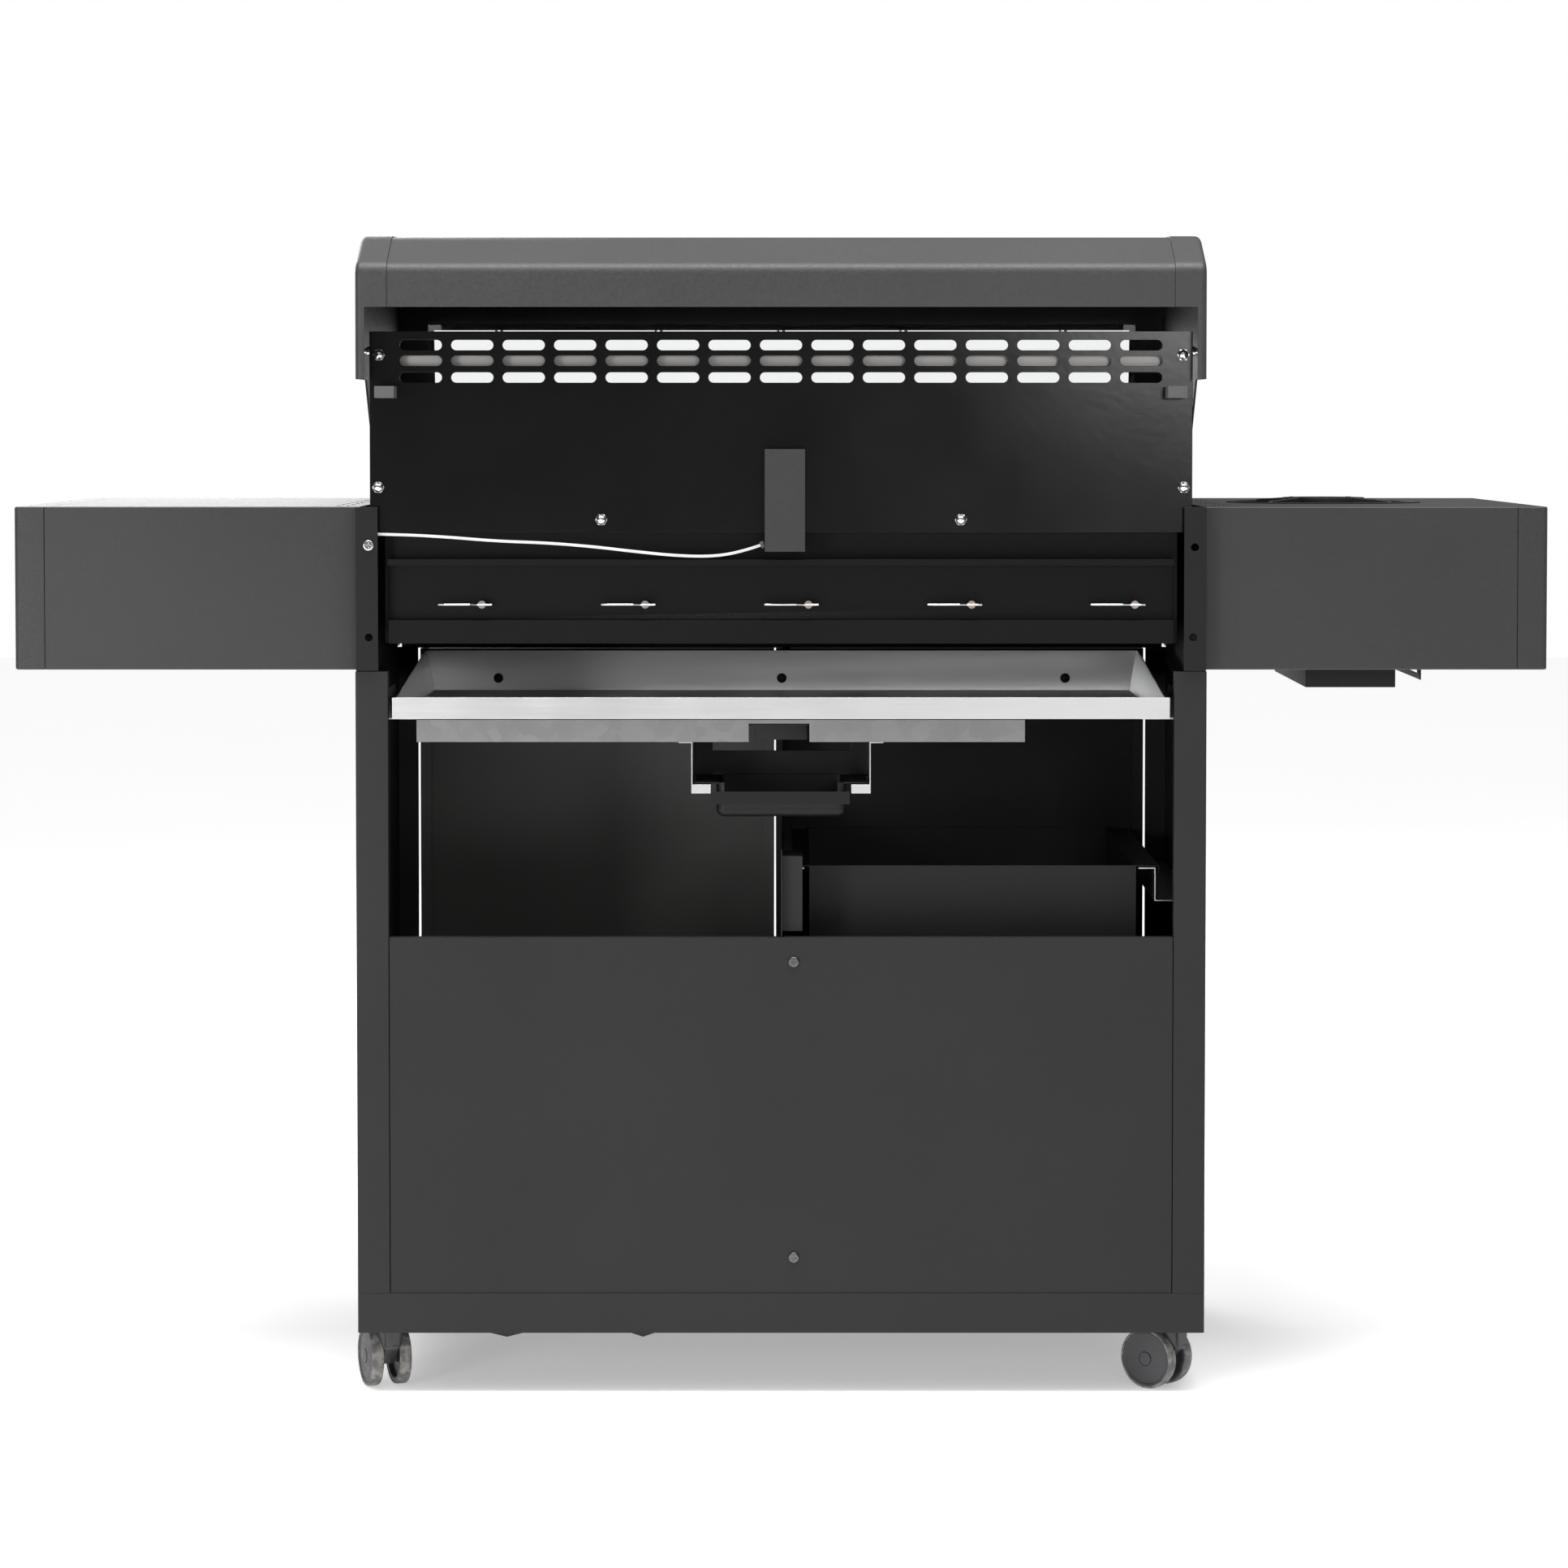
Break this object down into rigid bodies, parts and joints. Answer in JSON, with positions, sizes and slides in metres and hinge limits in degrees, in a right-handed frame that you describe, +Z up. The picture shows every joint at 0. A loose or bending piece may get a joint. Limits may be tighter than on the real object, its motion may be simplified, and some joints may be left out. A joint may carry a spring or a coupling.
{
  "type": "gas barbecue grill",
  "caption": "Free-standing gas barbecue on a wheeled cabinet with a hinged hood, side shelves, a side burner, a door, a drawer and a drip tray.",
  "frame": {"origin": "on the floor, under the middle of the whole object's box", "axes": "+Z up, +Y towards the back, +X towards the cook's right"},
  "size_m": [1.57, 0.5926, 1.1921],
  "materials": {
    "hood_paint": "textured powder coat, satin",
    "shelf_paint": "textured powder coat",
    "cabinet_paint": "fine powder coat, satin",
    "black_enamel": "glossy vitreous enamel",
    "black_paint": "semi-gloss",
    "heat_paint": "matte heat-proof",
    "satin_steel": "satin",
    "galvanised": "zinc, dull",
    "stainless": "brushed",
    "chrome": "polished",
    "cast_iron": "matte, seasoned",
    "valve_metal": "die cast",
    "rubber": "matte",
    "lead_cover": "silicone sleeve",
    "window_glass": "clear tempered",
    "knob_finish": "satin black",
    "caster_plastic": "moulded",
    "wheel_plastic": "moulded, worn tread"
  },
  "bodies": {
    "cabinet": {"base_tray": "cabinet_paint", "side_panels": "cabinet_paint", "back_panel": "cabinet_paint", "cabinet_divider": "cabinet_paint", "firebox": "heat_paint", "main_burners": "stainless", "hairpin_clips": "chrome", "flame_tamers": "stainless", "cooking_grates": "cast_iron", "warming_rack": "chrome", "rear_vent_panel": "black_enamel", "vent_strip": "stainless", "ignition_cover": "shelf_paint", "ignition_lead": "lead_cover", "rubber_stops": "rubber", "fasteners": "chrome", "shelf_right": "shelf_paint", "shelf_left": "shelf_paint", "shelf_brackets": "black_paint", "side_burner_box": "black_paint", "side_burner": "cast_iron", "control_panel": "shelf_paint", "gas_manifold": "valve_metal", "knob_bezels": "chrome", "hinge_pins": "chrome", "slide_rails": "satin_steel", "heat_shield": "galvanised", "drain_guides": "black_paint", "cup_rails": "satin_steel"},
    "hood": {"hood_shell": "hood_paint", "hood_caps": "hood_paint", "hood_window": "window_glass", "hood_handle": "satin_steel", "temperature_gauge": "chrome"},
    "door": {"door": "cabinet_paint", "door_handle": "satin_steel"},
    "drawer": {"drawer": "cabinet_paint", "drawer_handle": "satin_steel"},
    "drip_tray": {"drip_tray": "satin_steel"},
    "grease_cup": {"grease_cup": "black_paint"},
    "stem_main_1": {"stem_main_1": "stainless"},
    "knob_main_1": {"knob_main_1": "knob_finish"},
    "stem_main_2": {"stem_main_2": "stainless"},
    "knob_main_2": {"knob_main_2": "knob_finish"},
    "stem_main_3": {"stem_main_3": "stainless"},
    "knob_main_3": {"knob_main_3": "knob_finish"},
    "stem_main_4": {"stem_main_4": "stainless"},
    "knob_main_4": {"knob_main_4": "knob_finish"},
    "stem_main_5": {"stem_main_5": "stainless"},
    "knob_main_5": {"knob_main_5": "knob_finish"},
    "stem_side": {"stem_side": "stainless"},
    "knob_side": {"knob_side": "knob_finish"},
    "caster_fork_rear_right": {"caster_fork_rear_right": "caster_plastic"},
    "caster_wheels_rear_right": {"caster_wheels_rear_right": "wheel_plastic"},
    "caster_fork_rear_left": {"caster_fork_rear_left": "caster_plastic"},
    "caster_wheels_rear_left": {"caster_wheels_rear_left": "wheel_plastic"},
    "caster_fork_front_right": {"caster_fork_front_right": "caster_plastic"},
    "caster_wheels_front_right": {"caster_wheels_front_right": "wheel_plastic"},
    "caster_fork_front_left": {"caster_fork_front_left": "caster_plastic"},
    "caster_wheels_front_left": {"caster_wheels_front_left": "wheel_plastic"}
  },
  "joints": [
    {"name": "hood_hinge", "type": "hinge", "parent": "cabinet", "child": "hood", "pos_m": [0, 0.252, 1.071], "axis": [-1, 0, 0], "range_deg": [0, 93]},
    {"name": "door_hinge", "type": "hinge", "parent": "cabinet", "child": "door", "pos_m": [0.404, -0.248, 0.4], "axis": [0, 0, 1], "range_deg": [0, 110]},
    {"name": "drawer_slide", "type": "slide", "parent": "cabinet", "child": "drawer", "axis": [0, -1, 0], "range_m": [0, 0.38]},
    {"name": "tray_slide", "type": "slide", "parent": "cabinet", "child": "drip_tray", "axis": [0, 1, 0], "range_m": [0, 0.32]},
    {"name": "cup_slide", "type": "slide", "parent": "cabinet", "child": "grease_cup", "axis": [0, 1, 0], "range_m": [0, 0.105]},
    {"name": "push_main_1", "type": "slide", "parent": "cabinet", "child": "stem_main_1", "axis": [0, 1, 0], "range_m": [0, 0.003], "stiffness_N_per_m": 1500, "springref_m": -0.003},
    {"name": "turn_main_1", "type": "hinge", "parent": "stem_main_1", "child": "knob_main_1", "pos_m": [-0.334, -0.285, 0.812], "axis": [0, -1, 0], "range_deg": [0, 225]},
    {"name": "push_main_2", "type": "slide", "parent": "cabinet", "child": "stem_main_2", "axis": [0, 1, 0], "range_m": [0, 0.003], "stiffness_N_per_m": 1500, "springref_m": -0.003},
    {"name": "turn_main_2", "type": "hinge", "parent": "stem_main_2", "child": "knob_main_2", "pos_m": [-0.167, -0.285, 0.812], "axis": [0, -1, 0], "range_deg": [0, 225]},
    {"name": "push_main_3", "type": "slide", "parent": "cabinet", "child": "stem_main_3", "axis": [0, 1, 0], "range_m": [0, 0.003], "stiffness_N_per_m": 1500, "springref_m": -0.003},
    {"name": "turn_main_3", "type": "hinge", "parent": "stem_main_3", "child": "knob_main_3", "pos_m": [0, -0.285, 0.812], "axis": [0, -1, 0], "range_deg": [0, 225]},
    {"name": "push_main_4", "type": "slide", "parent": "cabinet", "child": "stem_main_4", "axis": [0, 1, 0], "range_m": [0, 0.003], "stiffness_N_per_m": 1500, "springref_m": -0.003},
    {"name": "turn_main_4", "type": "hinge", "parent": "stem_main_4", "child": "knob_main_4", "pos_m": [0.167, -0.285, 0.812], "axis": [0, -1, 0], "range_deg": [0, 225]},
    {"name": "push_main_5", "type": "slide", "parent": "cabinet", "child": "stem_main_5", "axis": [0, 1, 0], "range_m": [0, 0.003], "stiffness_N_per_m": 1500, "springref_m": -0.003},
    {"name": "turn_main_5", "type": "hinge", "parent": "stem_main_5", "child": "knob_main_5", "pos_m": [0.334, -0.285, 0.812], "axis": [0, -1, 0], "range_deg": [0, 225]},
    {"name": "push_side", "type": "slide", "parent": "cabinet", "child": "stem_side", "axis": [0, 1, 0], "range_m": [0, 0.003], "stiffness_N_per_m": 1500, "springref_m": -0.003},
    {"name": "turn_side", "type": "hinge", "parent": "stem_side", "child": "knob_side", "pos_m": [-0.584, -0.274, 0.812], "axis": [0, -1, 0], "range_deg": [0, 225]},
    {"name": "swivel_rear_right", "type": "hinge", "parent": "cabinet", "child": "caster_fork_rear_right", "pos_m": [0.405, 0.236, 0.07], "axis": [0, 0, 1], "continuous": true},
    {"name": "roll_rear_right", "type": "hinge", "parent": "caster_fork_rear_right", "child": "caster_wheels_rear_right", "pos_m": [0.41184, 0.21721, 0.031], "axis": [0.9397, 0.342, 0], "continuous": true},
    {"name": "swivel_rear_left", "type": "hinge", "parent": "cabinet", "child": "caster_fork_rear_left", "pos_m": [-0.405, 0.236, 0.07], "axis": [0, 0, 1], "continuous": true},
    {"name": "roll_rear_left", "type": "hinge", "parent": "caster_fork_rear_left", "child": "caster_wheels_rear_left", "pos_m": [-0.38946, 0.22341, 0.031], "axis": [0.6293, 0.7771, 0], "continuous": true},
    {"name": "swivel_front_right", "type": "hinge", "parent": "cabinet", "child": "caster_fork_front_right", "pos_m": [0.405, -0.206, 0.07], "axis": [0, 0, 1], "continuous": true},
    {"name": "roll_front_right", "type": "hinge", "parent": "caster_fork_front_right", "child": "caster_wheels_front_right", "pos_m": [0.40016, -0.22541, 0.031], "axis": [0.9703, -0.2419, 0], "continuous": true},
    {"name": "swivel_front_left", "type": "hinge", "parent": "cabinet", "child": "caster_fork_front_left", "pos_m": [-0.405, -0.206, 0.07], "axis": [0, 0, 1], "continuous": true},
    {"name": "roll_front_left", "type": "hinge", "parent": "caster_fork_front_left", "child": "caster_wheels_front_left", "pos_m": [-0.40222, -0.22581, 0.031], "axis": [0.9903, 0.1392, 0], "continuous": true}
  ]
}
